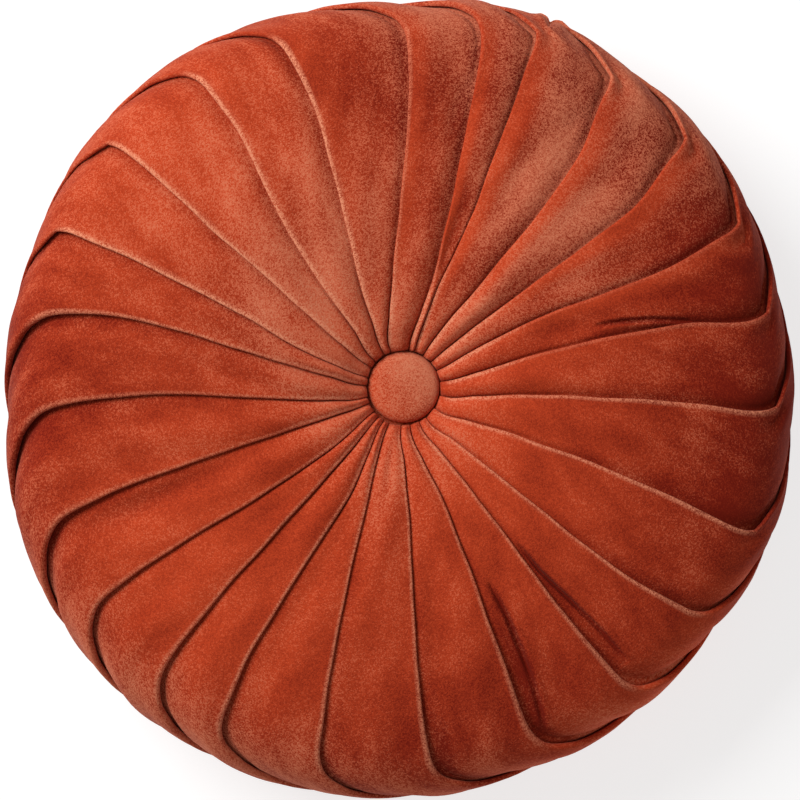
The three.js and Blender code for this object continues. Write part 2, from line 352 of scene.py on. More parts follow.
@dataclass
class CushionForm:
    """The cushion's mean surface and the lines that its folds take over it."""

    button_x: float = 2.0 * MM
    button_y: float = 6.5 * MM
    back_swirl: float = 12.0  # degrees that the folds turn between the back rim and the back button
    wander: float = 0.6 * MM  # how far the folds stray from their lines
    wander_length: float = 24.0 * MM
    widening: Band = (0.08, 0.35)  # reaches between which the rings stand further and further apart
    samples_a_row: int = 24
    edge_steps: int = 720
    edges: list[float] = field(init=False)

    def __post_init__(self) -> None:
        """Work out the edge radius all round once."""
        step = FULL_TURN / self.edge_steps
        self.edges = [self.edge_between_folds(k * step) for k in range(self.edge_steps + 1)]

    def rings(self, spacing: float, fine_spacing: float) -> list[Ring]:
        """Place rings along the section at an even spacing, closer near the buttons.

        Args:
            spacing: the distance between two rings on the face.
            fine_spacing: the distance beside the buttons.

        Returns:
            The rings, from the middle of the back to the middle of the front.
        """
        count = (len(SECTIONS) - 1) * self.samples_a_row
        mean_edge = sum(fold.edge for fold in FOLDS) / len(FOLDS) * MM
        dense = []
        for step in range(count + 1):
            place = step / self.samples_a_row
            reach, height, twist, relief = smooth_row(SECTIONS, place)
            reach = min(max(reach, 0.0), 1.0)
            dense.append((reach, height * MM, twist, max(relief, 0.0), place > WIDEST_ROW))
        rings = []
        gone, due = 0.0, 0.0
        for k, (reach, height, twist, relief, front) in enumerate(dense):
            below, above = dense[max(k - 1, 0)], dense[min(k + 1, count)]
            run, rise = (above[0] - below[0]) * mean_edge, above[1] - below[1]
            size = math.hypot(run, rise)
            if k:
                gone += math.hypot((reach - dense[k - 1][0]) * mean_edge, height - dense[k - 1][1])
            if gone >= due or k in (0, count):
                rings.append(Ring(reach, height, twist, relief, front, rise / size, -run / size, gone))
                due = gone + fine_spacing + (spacing - fine_spacing) * eased(*self.widening, reach)
        return rings

    def fold_angle(self, fold: Fold, ring: Ring) -> float:
        """Read where a fold crosses a ring, from the table on the front and by its swirl on the back.

        Args:
            fold: the fold.
            ring: the section that it crosses.

        Returns:
            The angle in degrees.
        """
        radius = max(ring.reach, FOLD_REACHES[0]) * fold.edge * MM
        stray = noise.noise(Vector((ring.gone / self.wander_length, 0.0, fold.rim)))
        stray *= math.degrees(self.wander / radius) * eased(FOLD_REACHES[0], FOLD_REACHES[2], ring.reach)
        if not ring.front:
            inward = max(FOLD_REACHES[-1] - ring.reach, 0.0)
            return fold.rim + fold.hook * ring.twist + self.back_swirl * inward + stray
        k = 0
        while k < len(FOLD_REACHES) - 2 and ring.reach > FOLD_REACHES[k + 1]:
            k += 1
        share = (ring.reach - FOLD_REACHES[k]) / (FOLD_REACHES[k + 1] - FOLD_REACHES[k])
        place = k + min(max(share, 0.0), 1.0)
        angles = tuple((angle,) for angle in fold[: len(FOLD_REACHES)])
        hook = fold.style.value
        turned = max(ring.twist, 0.0) ** hook.power
        turned += hook.early * eased(hook.start, hook.end, ring.reach) * (1.0 - turned)
        return smooth_row(angles, place)[0] + fold.hook * turned + stray

    @staticmethod
    def edge_between_folds(angle: float) -> float:
        """Ease the cushion's edge radius from one fold's value to the next.

        Args:
            angle: the angle about the button, in degrees.

        Returns:
            The radius in metres.
        """
        turned = (angle - FOLDS[0].rim) % FULL_TURN + FOLDS[0].rim
        k = 0
        while k < len(FOLDS) - 1 and turned >= FOLDS[k + 1].rim:
            k += 1
        following = FOLDS[(k + 1) % len(FOLDS)]
        end = following.rim if k + 1 < len(FOLDS) else following.rim + FULL_TURN
        share = eased(FOLDS[k].rim, end, turned)
        return (FOLDS[k].edge + (following.edge - FOLDS[k].edge) * share) * MM

    def edge_radius(self, angle: float) -> float:
        """Read the edge radius from the list made beforehand.

        Args:
            angle: the angle about the button, in degrees.

        Returns:
            The radius in metres.
        """
        place = angle % FULL_TURN / FULL_TURN * self.edge_steps
        k = int(place)
        return self.edges[k] + (self.edges[min(k + 1, self.edge_steps)] - self.edges[k]) * (place - k)

    def place(self, radius: float, angle: float, height: float) -> Vector:
        """Turn a radius and an angle about the button into a point.

        Args:
            radius: the distance from the button's axis.
            angle: the angle about it, in degrees.
            height: the height over the floor.

        Returns:
            The point.
        """
        turn = math.radians(angle)
        across, along = radius * math.cos(turn), radius * math.sin(turn)
        return Vector((self.button_x + across, self.button_y + along, height))

    def crease_depth(self, angle: float, reach: float) -> float:
        """Add up the soft creases at a place on the front face.

        Args:
            angle: the place's angle about the button, in degrees.
            reach: its share of the edge radius.

        Returns:
            The depth in metres.
        """
        depth = 0.0
        for crease in CREASES:
            share = (reach - crease.reach_from) / (crease.reach_to - crease.reach_from)
            if not 0.0 < share < 1.0:
                continue
            middle = crease.angle_from + (crease.angle_to - crease.angle_from) * share
            away = math.radians(turned_from(angle, middle)) * reach * self.edge_radius(angle)
            depth += crease.depth * MM * math.sin(math.pi * share) * bell(away, crease.width * MM)
        return depth


class Layer(Enum):
    """Which layer of a pleat a column of points is on."""

    UNDER = "the start of the pleat, hidden under the fold before it"
    FACE = "the part that shows"
    ROLL = "round the fold's edge"
    RETURN = "the velvet going back under the fold"
    TURN = "the hidden turn to the next pleat"


class Column(NamedTuple):
    """One column of points across a pleat, on a layer, at a share of it, or at an angle round the roll."""

    layer: Layer
    share: float


class Span(NamedTuple):
    """One pleat on one ring, in metres and degrees."""

    number: int
    start: float  # the angle of the fold before it
    radius: float
    width: float
    foot: float  # the height of its start over the mean surface
    crest: float  # the height of its fold
    roll: float  # the radius of the fold's edge
    under: float  # how far it goes on under the fold before it
    hollow: float  # the depth of its trough

    @property
    def own(self) -> Fold:
        """Give the pleat's own fold, at the end of its face."""
        return FOLDS[(self.number + 1) % len(FOLDS)]


@dataclass
class SideSeam:
    """The seam that joins the cover's two ends: a groove up the side wall between two rolled edges."""

    angle: float = 68.2
    lowest: float = 16.0 * MM
    highest: float = 80.0 * MM
    end_length: float = 6.0 * MM  # how far past its ends the wall is cut, and half of how it starts
    fade_before: float = 4.0 * MM  # it runs out between these distances from its upper end
    fade_after: float = 5.0 * MM
    depth: float = 1.5 * MM
    half_width: float = 1.1 * MM
    edge_roll: float = 1.5 * MM
    edge_away: float = 5.5 * MM
    edge_spread: float = 3.4 * MM
    reach_in: float = 34.0 * MM  # how far in from the outline the groove's faces may lie
    # Where the wall is cut on each side of the seam, in millimetres.
    cuts: tuple[float, ...] = (
        *(-11.0, -8.0, -5.5, -3.6, -2.2, -1.2, -0.5),
        *(0.0, 0.5, 1.2, 2.2, 3.6, 5.5, 8.0, 11.0),
    )
    cut_width: float = 1.3  # how much wider the cut faces reach than the last cut

    def cut(self, bm: bmesh.types.BMesh, form: CushionForm) -> None:
        """Cut the side wall along the seam and draw the groove in.

        Args:
            bm: the finished cover's mesh.
            form: the mean surface, for its middle.
        """
        middle = form.place(0.0, 0.0, 0.0)
        turn = math.radians(self.angle)
        out = Vector((math.cos(turn), math.sin(turn), 0.0))
        side = Vector((-math.sin(turn), math.cos(turn), 0.0))
        innermost = form.edge_radius(self.angle) - self.reach_in
        widest = max(self.cuts) * MM * self.cut_width

        def near(place: Vector) -> bool:
            """Tell whether a place is on the side wall by the seam.

            Args:
                place: the place.

            Returns:
                True if it is.
            """
            from_middle = place - middle
            level = self.lowest - self.end_length < place.z < self.highest + self.end_length
            return level and abs(from_middle.dot(side)) < widest and from_middle.dot(out) > innermost

        for offset in self.cuts:
            faces = [face for face in bm.faces if near(face.calc_center_median())]
            parts = list({part for face in faces for part in (face, *face.edges, *face.verts)})
            cut_at = middle + side * offset * MM
            bmesh.ops.bisect_plane(bm, geom=parts, dist=JOINED, plane_co=cut_at, plane_no=side)
        for vertex in bm.verts:
            if not near(vertex.co):
                continue
            away = abs((vertex.co - middle).dot(side))
            level = eased(self.lowest - self.end_length, self.lowest + self.end_length, vertex.co.z)
            fade_from, fade_to = self.highest - self.fade_before, self.highest + self.fade_after
            level *= 1.0 - eased(fade_from, fade_to, vertex.co.z)
            groove = self.depth * bell(away, self.half_width)
            rolled = self.edge_roll * bell(away - self.edge_away, self.edge_spread)
            vertex.co += out * (rolled - groove) * level


@dataclass(frozen=True)
class LappedEdge:
    """A second edge of velvet that laps over its own pleat beside a fold."""

    places: tuple[Band, ...]  # the angle and reach of each of its points
    depth: float = 3.2 * MM
    half_width: float = 1.0 * MM
    strip_rise: float = 1.3 * MM  # how far the strip between the edge and the fold is rounded up
    strip_away: float = 2.2 * MM
    strip_spread: float = 1.6 * MM
    edge_rise: float = 0.0  # how far the velvet beyond the groove is rounded up
    edge_away: float = 2.8 * MM
    edge_spread: float = 1.8 * MM
    reach_out: float = 7.0 * MM
    lowest: float = 90.0 * MM
    painted_groove_shade: float = 0.6  # painted shade along the groove: how much darker it is made there
    painted_groove_shade_spread: float = 1.6  # half width of that, as a share of the groove's
    least_bright: float = -0.2
    cuts: int = 3

    def away(self, place: Vector, path: list[Vector]) -> tuple[float, float]:
        """Measure a place against the edge, as seen from the front.

        Args:
            place: the place.
            path: the edge's points.

        Returns:
            The share of the edge's points that it is past, and how far it is to the left of the edge.
        """
        found = (0.0, math.inf)
        for number, (start, end) in enumerate(zip(path, path[1:])):
            step = (end - start).xy
            from_start = (place - start).xy
            share = min(max(from_start.dot(step) / step.length_squared, 0.0), 1.0)
            gap = from_start - step * share
            side = math.copysign(gap.length, step.cross(from_start))
            if abs(side) < abs(found[1]):
                found = ((number + share) / (len(path) - 1), side)
        return found

    def cut(self, bm: bmesh.types.BMesh, form: CushionForm) -> None:
        """Make the faces finer beside the edge, draw its groove in, round up the strip under it and paint
        shade along the groove.

        Args:
            bm: the finished cover's mesh.
            form: the mean surface, to turn reaches into places.
        """
        path = [form.place(reach * form.edge_radius(angle), angle, 0.0) for angle, reach in self.places]

        def near(place: Vector) -> bool:
            """Tell whether a place is on the front face beside the edge."""
            return place.z > self.lowest and abs(self.away(place, path)[1]) < self.reach_out

        edges = {edge for face in bm.faces if near(face.calc_center_median()) for edge in face.edges}
        bmesh.ops.subdivide_edges(bm, edges=list(edges), cuts=self.cuts, use_grid_fill=True)
        bright_layer = bm.verts.layers.float["bright"]
        for vertex in bm.verts:
            if not near(vertex.co):
                continue
            along, side = self.away(vertex.co, path)
            shown = math.sqrt(math.sin(math.pi * min(max(along, 0.0), 1.0)))
            groove = self.depth * bell(side, self.half_width)
            strip = self.strip_rise * bell(side + self.strip_away, self.strip_spread)
            edge = self.edge_rise * bell(side - self.edge_away, self.edge_spread)
            vertex.co.z += (strip + edge - groove) * shown
            # Painted shade along the groove.
            darker = self.painted_groove_shade * shown * bell(side, self.half_width * self.painted_groove_shade_spread)
            vertex[bright_layer] = max(vertex[bright_layer] - darker, self.least_bright)


@dataclass(frozen=True)
class NapAndPaintedLight:
    """How the nap looks on a pleat, with painted light and shade.

    Towards the upper right, where the folds face the light, each fold gets a painted highlight along it,
    and the ground beside the fold before it gets painted shade and a pale dusty tone that is partly painted
    sheen. Pairs are the reaches, or the shares of a pleat's width, between which a smooth step lies.
    """

    level: float = 0.5  # the brightness before anything is added
    lit_folds_middle: float = 55.0
    lit_folds_spread: float = 42.0
    lit_folds_from: Band = (0.15, 0.4)
    lit_folds_to: Band = (0.9, 1.05)
    by_fold: Band = (0.62, 0.9)
    painted_fold_highlight: float = 0.4
    painted_ground_shade: float = 0.1
    ground: Band = (0.0, 0.6)
    ground_dusty: float = 0.3
    fold_clean: float = 0.6
    foot: Band = (0.0, 0.25)
    foot_from: Band = (0.3, 0.6)
    painted_foot_shadow: float = 0.3
    painted_crease_shade: float = 0.14 / MM  # painted shade in the creases: how much it darkens for each metre of a crease's depth
    least_bright: float = -0.1
    most_bright: float = 1.25
    dustiest: float = 1.1
    dusty_share: float = 0.64
    # The pale fold edges: rubbed nap with a painted highlight.
    worn_width: float = 1.15 * MM
    worn_from: Band = (0.1, 0.13)
    worn_to: Band = (0.9, 0.96)
    button_worn: float = 0.7  # how pale every fold's edge is beside the button, rubbed and with a painted highlight
    button_to: Band = (0.18, 0.42)
    least_worn: float = 0.1

    def look(self, form: CushionForm, span: Span, column: Column, ring: Ring) -> tuple[float, float]:
        """Say how the nap looks at a point, with painted light and shade.

        Args:
            form: the mean surface, for its creases.
            span: the pleat on that ring.
            column: the column across the pleat.
            ring: the section that the point is on.

        Returns:
            How bright it is in painted light and shade, where 0 is its shaded deep colour, and how dusty,
            partly as painted sheen.
        """
        share = column.share if column.layer is Layer.FACE else float(column.layer is not Layer.UNDER)
        angle = span.start + math.degrees(share * span.width / span.radius)
        bright, dust_and_sheen = self.level, 0.0
        for patch in LIGHT_AND_NAP_PATCHES:
            turned = turned_from(angle, patch.angle) / patch.half_angle
            out = (ring.outward - patch.reach) / patch.half_reach
            strength = math.exp(-turned * turned - out * out)
            bright += patch.bright * strength
            dust_and_sheen += patch.dust_and_sheen * strength
        # Painted highlight along the folds that face the light at the upper right, and painted shade on the
        # ground beside them.
        lit_folds = bell(turned_from(angle, self.lit_folds_middle), self.lit_folds_spread)
        lit_folds *= eased(*self.lit_folds_from, ring.outward) * (1.0 - eased(*self.lit_folds_to, ring.outward))
        along_fold = eased(*self.by_fold, share)
        bright += lit_folds * (self.painted_fold_highlight * along_fold - self.painted_ground_shade * (1.0 - along_fold))
        # Painted shadow on each pleat's start, under the fold before it.
        bright -= self.painted_foot_shadow * (1.0 - eased(*self.foot, share)) * eased(*self.foot_from, ring.outward)
        if ring.front:
            # Painted shade in the creases.
            bright -= self.painted_crease_shade * form.crease_depth(angle, ring.reach)
        on_ground = 1.0 - eased(*self.ground, share)
        dust_and_sheen += lit_folds * (self.ground_dusty * on_ground - self.fold_clean * along_fold)
        bright = min(max(bright, self.least_bright), self.most_bright)
        return bright, self.dusty_share * min(max(dust_and_sheen, 0.0), self.dustiest)

    def worn_and_highlight(self, span: Span, column: Column, ring: Ring) -> float:
        """Say how pale a fold's edge is at a point: rubbed nap, with a painted highlight where the edge
        faces the light.

        Args:
            span: the pleat on that ring.
            column: the column across the pleat.
            ring: the section that the point is on.

        Returns:
            A share, where 0 is neither rubbed nor lit.
        """
        on_edge = column.layer is Layer.ROLL and column.share > 0.0
        if not ring.front or not (on_edge or column.layer is Layer.FACE):
            return 0.0
        away = 0.0 if on_edge else (1.0 - column.share) * span.width
        by_button = self.button_worn * (1.0 - eased(*self.button_to, ring.reach))
        rubbed_and_highlight = max(span.own.worn_and_highlight, by_button)
        shown = eased(*self.worn_from, ring.reach) * (1.0 - eased(*self.worn_to, ring.reach))
        return rubbed_and_highlight * shown * bell(away, self.worn_width * max(rubbed_and_highlight, self.least_worn))


@dataclass
class PleatedCover:
    """The velvet cover with its filling, as one closed surface: every pleat's face, rolled edge and return.

    The filling's swell is in the section table, the rise across each pleat and its slow waves.
    Pairs are the reaches between which a smooth step lies.
    """

    form: CushionForm
    nap: NapAndPaintedLight = NapAndPaintedLight()
    seam: SideSeam = field(default_factory=SideSeam)
    lapped_edges: tuple[LappedEdge, ...] = (
        LappedEdge(((17.7, 0.509), (16.8, 0.575), (15.3, 0.65), (13.0, 0.748))),
        LappedEdge(
            ((305.9, 0.48), (306.4, 0.566), (307.9, 0.67), (308.9, 0.775), (309.2, 0.88)),
            depth=4.0 * MM,
            half_width=0.9 * MM,
            edge_rise=1.2 * MM,
            strip_rise=-1.6 * MM,
            strip_away=3.6 * MM,
            strip_spread=3.0 * MM,
            painted_groove_shade=0.65,
            painted_groove_shade_spread=1.7,
        ),
        LappedEdge(
            ((293.4, 0.52), (294.2, 0.61), (293.8, 0.706), (293.4, 0.807), (292.2, 0.92)),
            depth=3.4 * MM,
            half_width=1.0 * MM,
            edge_rise=1.2 * MM,
            strip_rise=0.6 * MM,
            strip_away=3.2 * MM,
            strip_spread=2.2 * MM,
            painted_groove_shade=0.7,
            painted_groove_shade_spread=1.8,
        ),
    )
    ring_spacing: float = 3.1 * MM
    fine_spacing: float = 1.2 * MM
    under_shares: tuple[float, ...] = (1.0, 0.5, 0.0)
    face_shares: tuple[float, ...] = (
        *(0.025, 0.055, 0.1, 0.17, 0.26, 0.36),
        *(0.47, 0.58, 0.69, 0.8, 0.9, 0.96, 1.0),
    )
    roll_angles: tuple[float, ...] = (62.0, 25.0, -12.0, -50.0, -85.0)
    return_shares: tuple[float, ...] = (0.45, 0.9)
    turn_share: float = 1.05  # of the underlap, where the velvet turns to the next pleat
    rim: Band = (0.75, 0.95)
    roll_share: float = 0.38  # of the lift, where that is less
    rim_roll: float = 0.6  # how much rounder the folds are at the rim
    underlap: float = 7.0 * MM
    rim_underlap: float = 12.0 * MM
    underlap_share: float = 0.3  # of the pleat's width, where that is less
    underlap_lifts: float = 3.0  # of the fold's lift, where that is less
    outside_share: float = 0.5  # of the lift that lies outside the mean surface
    uneven: float = 2.8 * MM
    uneven_across: float = 16.0 * MM
    uneven_along: float = 60.0 * MM
    uneven_apart: float = 7.3  # how far apart two pleats lie in the noise
    uneven_from: Band = (0.1, 0.35)
    rib: float = 1.6 * MM  # how far each narrow pleat is rounded up beside the button
    rib_from: Band = (0.093, 0.108)
    rib_to: Band = (0.2, 0.5)
    sharp_sink: float = 0.3  # the share of its lift that a sharp fold loses past its corner
    sink_from: Band = (0.955, 0.985)
    sink_to: Band = (1.0, 1.08)
    trough_loss: float = 0.5  # the share of its trough that a sharp fold loses there
    trough_to: Band = (0.96, 0.99)
    pinch: float = 2.2  # the hollow beside a sharp fold's corner, as a share of the fold's trough
    pinch_away: float = 6.6 * MM
    pinch_width: float = 3.2 * MM
    pinch_reach: float = 0.95
    pinch_half_reach: float = 0.045
    lay_apart: float = 0.01  # how far apart two pleats lie in the nap's pattern
    columns: list[Column] = field(init=False)
    rings: list[Ring] = field(init=False)

    def __post_init__(self) -> None:
        """List the columns of one pleat in their order round the cushion, and the rings."""
        layers = (
            (Layer.UNDER, self.under_shares),
            (Layer.FACE, self.face_shares),
            (Layer.ROLL, self.roll_angles),
            (Layer.RETURN, self.return_shares),
            (Layer.TURN, (1.0,)),
        )
        self.columns = [Column(layer, share) for layer, shares in layers for share in shares]
        self.rings = self.form.rings(self.ring_spacing, self.fine_spacing)

    def lift(self, fold: Fold, ring: Ring) -> float:
        """Give how far a fold stands over the next pleat. A sharp one sinks past its corner.

        Args:
            fold: the fold.
            ring: the section.

        Returns:
            The height in metres.
        """
        sunk = 0.0
        if fold.style is Hook.SHARP:
            sunk = eased(*self.sink_from, ring.outward) * (1.0 - eased(*self.sink_to, ring.outward))
        return fold.lift * MM * ring.relief * (1.0 - self.sharp_sink * sunk)

    def span(self, number: int, ring: Ring) -> Span:
        """Work out one pleat's place and size on one ring.

        Args:
            number: the pleat's number, which is that of the fold before it.
            ring: the section.

        Returns:
            The pleat there.
        """
        before, own = FOLDS[number], FOLDS[(number + 1) % len(FOLDS)]
        start = self.form.fold_angle(before, ring)
        end = self.form.fold_angle(own, ring) + (FULL_TURN if number + 1 == len(FOLDS) else 0.0)
        radius = max(ring.reach * self.form.edge_radius(start), MM)
        width = math.radians(end - start) * radius
        lift = self.lift(own, ring)
        foot = -self.lift(before, ring) * (1.0 - self.outside_share)
        at_rim = eased(*self.rim, ring.reach)
        rounder = 0.0 if own.style is Hook.SHARP else self.rim_roll * at_rim
        roll = min(own.roll * (1.0 + rounder) * MM, lift * self.roll_share)
        under = self.underlap + (self.rim_underlap - self.underlap) * at_rim
        under = min(under, width * self.underlap_share, self.underlap_lifts * lift)
        hollow = 0.0
        if ring.front:
            hook = before.style.value
            shown = eased(hook.hollow_from, hook.hollow_full, ring.reach)
            if before.style is Hook.SHARP:
                shown *= 1.0 - self.trough_loss * eased(*self.trough_to, ring.reach)
            hollow = before.hollow * MM * shown * ring.relief
        return Span(number, start, radius, width, foot, lift * self.outside_share, roll, under, hollow)

    def point(self, span: Span, column: Column, ring: Ring) -> Vector:
        """Work out one point of the cover.

        Args:
            span: the pleat on that ring.
            column: the column across the pleat.
            ring: the section that the point is on.

        Returns:
            The point's place.
        """
        if column.layer is Layer.UNDER:
            along, height = -column.share * span.under, span.foot
        elif column.layer is Layer.FACE:
            along = column.share * (span.width - span.roll)
            _, rise, hollow = smooth_row(ACROSS, self.across_place(column.share))
            height = span.foot + (span.crest - span.foot) * rise - span.hollow * hollow
            height += self.unevenness(span, column.share, ring)
            by_button = eased(*self.rib_from, ring.reach) * (1.0 - eased(*self.rib_to, ring.reach))
            height += self.rib * by_button * math.sin(math.pi * column.share)
            height -= self.pinched(span, column.share, ring)
        elif column.layer is Layer.ROLL:
            turn = math.radians(column.share)
            along = span.width - span.roll + span.roll * math.cos(turn)
            height = span.crest - span.roll + span.roll * math.sin(turn)
        elif column.layer is Layer.RETURN:
            along, height = span.width - column.share * span.under, span.crest - 2.0 * span.roll
        else:
            next_foot = -span.crest * (1.0 - self.outside_share) / self.outside_share
            along = span.width - span.under * self.turn_share
            height = (span.crest - 2.0 * span.roll + next_foot) / 2.0

        angle = span.start + math.degrees(along / span.radius)
        base = ring.reach * self.form.edge_radius(angle)
        point = self.form.place(base + height * ring.out, angle, ring.height + height * ring.up)
        if column.layer in (Layer.FACE, Layer.ROLL) and ring.front:
            point.z -= self.form.crease_depth(angle, ring.reach) * ring.up
        point.z = max(point.z, 0.0)
        return point

    @staticmethod
    def across(span: Span, column: Column) -> float:
        """Measure how far a column is from the start of its pleat, along the velvet.

        Args:
            span: the pleat on one ring.
            column: the column.

        Returns:
            The distance in metres.
        """
        if column.layer is Layer.UNDER:
            return -column.share * span.under
        if column.layer is Layer.FACE:
            return column.share * (span.width - span.roll)
        if column.layer is Layer.ROLL:
            return span.width - span.roll + span.roll * math.radians(90.0 - column.share)
        return span.width - span.roll + span.roll * math.pi + column.share * span.under

    @staticmethod
    def across_place(share: float) -> float:
        """Turn a share of the width into a place between two rows of the table across a pleat.

        Args:
            share: the share.

        Returns:
            The row's number, which needn't be whole.
        """
        k = 0
        while k < len(ACROSS) - 2 and share > ACROSS[k + 1].along:
            k += 1
        return k + (share - ACROSS[k].along) / (ACROSS[k + 1].along - ACROSS[k].along)

    def unevenness(self, span: Span, share: float, ring: Ring) -> float:
        """Give a pleat's slow waves, which die out at its folds and its narrow end.

        Args:
            span: the pleat on that ring.
            share: the share of its face that the point is at.
            ring: the section that the point is on.

        Returns:
            The height in metres.
        """
        across = share * span.width / self.uneven_across
        wave = noise.noise(Vector((across, ring.gone / self.uneven_along, span.number * self.uneven_apart)))
        return self.uneven * wave * math.sin(math.pi * share) * eased(*self.uneven_from, ring.reach)

    def pinched(self, span: Span, share: float, ring: Ring) -> float:
        """Give the hollow that leaves a sharp fold's corner standing as a narrow beak.

        Args:
            span: the pleat on that ring.
            share: the share of its face that the point is at.
            ring: the section that the point is on.

        Returns:
            The depth in metres.
        """
        if span.own.style is not Hook.SHARP or not ring.front:
            return 0.0
        away = ((1.0 - share) * span.width - self.pinch_away) / self.pinch_width
        out = (ring.reach - self.pinch_reach) / self.pinch_half_reach
        return self.pinch * span.own.hollow * MM * math.exp(-away * away - out * out)

    def build(self) -> bpy.types.Object:
        """Spin the section into a closed surface, lay its points on the pleats, and cut the seam and edges.

        Returns:
            The cover as an object.
        """
        bm, places = self.spun(len(FOLDS) * len(self.columns))
        worn_layer = bm.verts.layers.float.new("worn_and_highlight")
        bright_layer = bm.verts.layers.float.new("bright")
        dusty_layer = bm.verts.layers.float.new("dust_and_sheen")
        lay_layer = bm.verts.layers.float_vector.new("lay")
        spans = [[self.span(pleat, ring) for pleat in range(len(FOLDS))] for ring in self.rings]
        for vertex in bm.verts:
            number, turned = places[vertex.index]
            ring = self.rings[number]
            pleat, place = divmod(turned, len(self.columns))
            column, span = self.columns[place], spans[number][pleat]
            if ring.reach == 0.0:
                vertex.co = self.form.place(0.0, 0.0, ring.height)
                continue
            vertex.co = self.point(span, column, ring)
            vertex[bright_layer], vertex[dusty_layer] = self.nap.look(self.form, span, column, ring)
            vertex[worn_layer] = self.nap.worn_and_highlight(span, column, ring)
            vertex[lay_layer] = (self.across(span, column), ring.gone, self.lay_apart * pleat)
        bmesh.ops.remove_doubles(bm, verts=bm.verts, dist=JOINED)
        self.seam.cut(bm, self.form)
        for lapped_edge in self.lapped_edges:
            lapped_edge.cut(bm, self.form)
        bmesh.ops.recalc_face_normals(bm, faces=bm.faces)
        return finished("pleated_velvet_cover", bm)

    def spun(self, steps: int) -> tuple[bmesh.types.BMesh, list[tuple[int, int]]]:
        """Spin the rings' section into a closed surface.

        Args:
            steps: the steps round.

        Returns:
            The bmesh, and each vertex's ring and step.
        """
        bm = bmesh.new()
        ring_layer = bm.verts.layers.int.new("ring")
        chain = []
        for number, ring in enumerate(self.rings):
            vertex = bm.verts.new((ring.reach, 0.0, ring.height))
            vertex[ring_layer] = number
            chain.append(vertex)
        spin_closed(bm, chain, steps)
        bm.verts.index_update()
        places = []
        for vertex in bm.verts:
            turned = round(math.atan2(vertex.co.y, vertex.co.x) / math.tau * steps) % steps
            places.append((vertex[ring_layer], turned))
        return bm, places


@dataclass
class CoveredButton:
    """A domed button covered in velvet, in the place of a button of the frame."""

    node: str
    name: str
    faces_up: bool
    steps: int = 96
    steps_a_row: int = 4
    profile: tuple[Band, ...] = (
        (0.0, 0.02),
        (0.6, 0.0),
        (0.84, 0.0),
        (0.95, 0.1),
        (1.0, 0.28),
        (0.995, 0.45),
        (0.955, 0.62),
        (0.88, 0.75),
        (0.76, 0.85),
        (0.6, 0.92),
        (0.4, 0.97),
        (0.2, 0.995),
        (0.0, 1.0),
    )
    # Painted light at the top and painted shade to the right, lit from the upper left, and a dusty tone
    # that is partly painted sheen: how much brighter and dustier it gets to the right and to the top.
    painted_light_right: float = -0.15
    painted_light_top: float = 0.1
    dusty_right: float = 0.25
    dusty_top: float = 0.3

    def build(self) -> bpy.types.Object:
        """Spin the button's section, then place it where its node is.

        Returns:
            The button as an object.
        """
        low, high = (Vector(corner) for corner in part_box(self.node))
        radius = (high.x - low.x) / 2.0
        thickness = high.z - low.z
        bm = bmesh.new()
        chain = []
        for step in range((len(self.profile) - 1) * self.steps_a_row + 1):
            out, up = smooth_row(self.profile, step / self.steps_a_row)
            chain.append(bm.verts.new((max(out, 0.0) * radius, 0.0, up * thickness)))
        spin_closed(bm, chain, self.steps)
        if not self.faces_up:
            bmesh.ops.rotate(bm, verts=bm.verts, matrix=Matrix.Rotation(math.pi, 3, "X"))
        bright_layer = bm.verts.layers.float.new("bright")
        dusty_layer = bm.verts.layers.float.new("dust_and_sheen")
        for vertex in bm.verts:
            right, top = vertex.co.x / radius, vertex.co.y / radius
            # Painted light at the top and painted shade to the right.
            vertex[bright_layer] = self.painted_light_top * top + self.painted_light_right * right
            vertex[dusty_layer] = self.dusty_top * top + self.dusty_right * right
        middle = (low + high) / 2.0
        base = low.z if self.faces_up else high.z
        bmesh.ops.translate(bm, verts=bm.verts, vec=(middle.x, middle.y, base))
        bmesh.ops.recalc_face_normals(bm, faces=bm.faces)
        return finished(self.name, bm)


class Grain(Enum):
    """What the nap's pattern follows: the pleats, or the piece's own place."""

    PLEATS = "pleats"
    PIECE = "piece"


class Pattern(NamedTuple):
    """A noise in the nap: its size, its stretch along the pleats, and how much it brightens and dusts."""

    scale: float
    detail: float
    along: float
    bright: float
    dust_and_sheen: float


